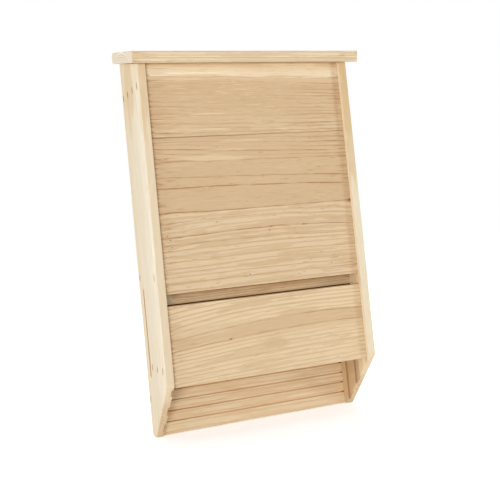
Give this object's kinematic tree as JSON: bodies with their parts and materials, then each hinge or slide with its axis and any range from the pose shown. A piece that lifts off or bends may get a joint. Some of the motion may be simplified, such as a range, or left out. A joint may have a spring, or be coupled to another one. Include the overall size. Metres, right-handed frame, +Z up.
{
  "type": "bat box",
  "caption": "Flat wall-hung wooden bat box with a sloping overhanging roof board, chamfered sides, vent slots and saw-kerfed baffles and landing board.",
  "frame": {"origin": "mounting point on the flat rear face of the back board, on the centre line and 230 mm above the foot", "axes": "+Z up, +Y out of the back towards the wall or pole, -Y the front, +X to the right seen from the front"},
  "size_m": [0.2884, 0.1081, 0.4759],
  "materials": {
    "roof_wood": "bare planed pine",
    "side_wood": "bare planed pine",
    "front_wood": "bare planed pine",
    "roost_wood": "bare sawn and kerfed pine",
    "staple_steel": "plain wire"
  },
  "bodies": {
    "root": {"back_board": "roost_wood", "front_baffle": "roost_wood", "left_foot_staple_back_board": "staple_steel", "left_low_staple_front_baffle": "staple_steel", "left_low_staple_lower_front_board": "staple_steel", "left_low_staple_rear_baffle": "staple_steel", "left_middle_staple_back_board": "staple_steel", "left_middle_staple_middle_front_board": "staple_steel", "left_side_panel": "side_wood", "left_top_staple_back_board": "staple_steel", "left_top_staple_front_baffle": "staple_steel", "left_top_staple_rear_baffle": "staple_steel", "left_top_staple_upper_front_board": "staple_steel", "lower_front_board": "front_wood", "middle_front_board": "front_wood", "rear_baffle": "roost_wood", "right_foot_staple_back_board": "staple_steel", "right_low_staple_front_baffle": "staple_steel", "right_low_staple_lower_front_board": "staple_steel", "right_low_staple_rear_baffle": "staple_steel", "right_middle_staple_back_board": "staple_steel", "right_middle_staple_middle_front_board": "staple_steel", "right_side_panel": "side_wood", "right_top_staple_back_board": "staple_steel", "right_top_staple_front_baffle": "staple_steel", "right_top_staple_rear_baffle": "staple_steel", "right_top_staple_upper_front_board": "staple_steel", "roof_board": "roof_wood", "roof_staple_back_left": "staple_steel", "roof_staple_back_right": "staple_steel", "roof_staple_front_left": "staple_steel", "roof_staple_front_right": "staple_steel", "roof_staple_left_side_1": "staple_steel", "roof_staple_left_side_2": "staple_steel", "roof_staple_left_side_3": "staple_steel", "roof_staple_right_side_1": "staple_steel", "roof_staple_right_side_2": "staple_steel", "roof_staple_right_side_3": "staple_steel", "upper_front_board": "front_wood"}
  },
  "joints": []
}
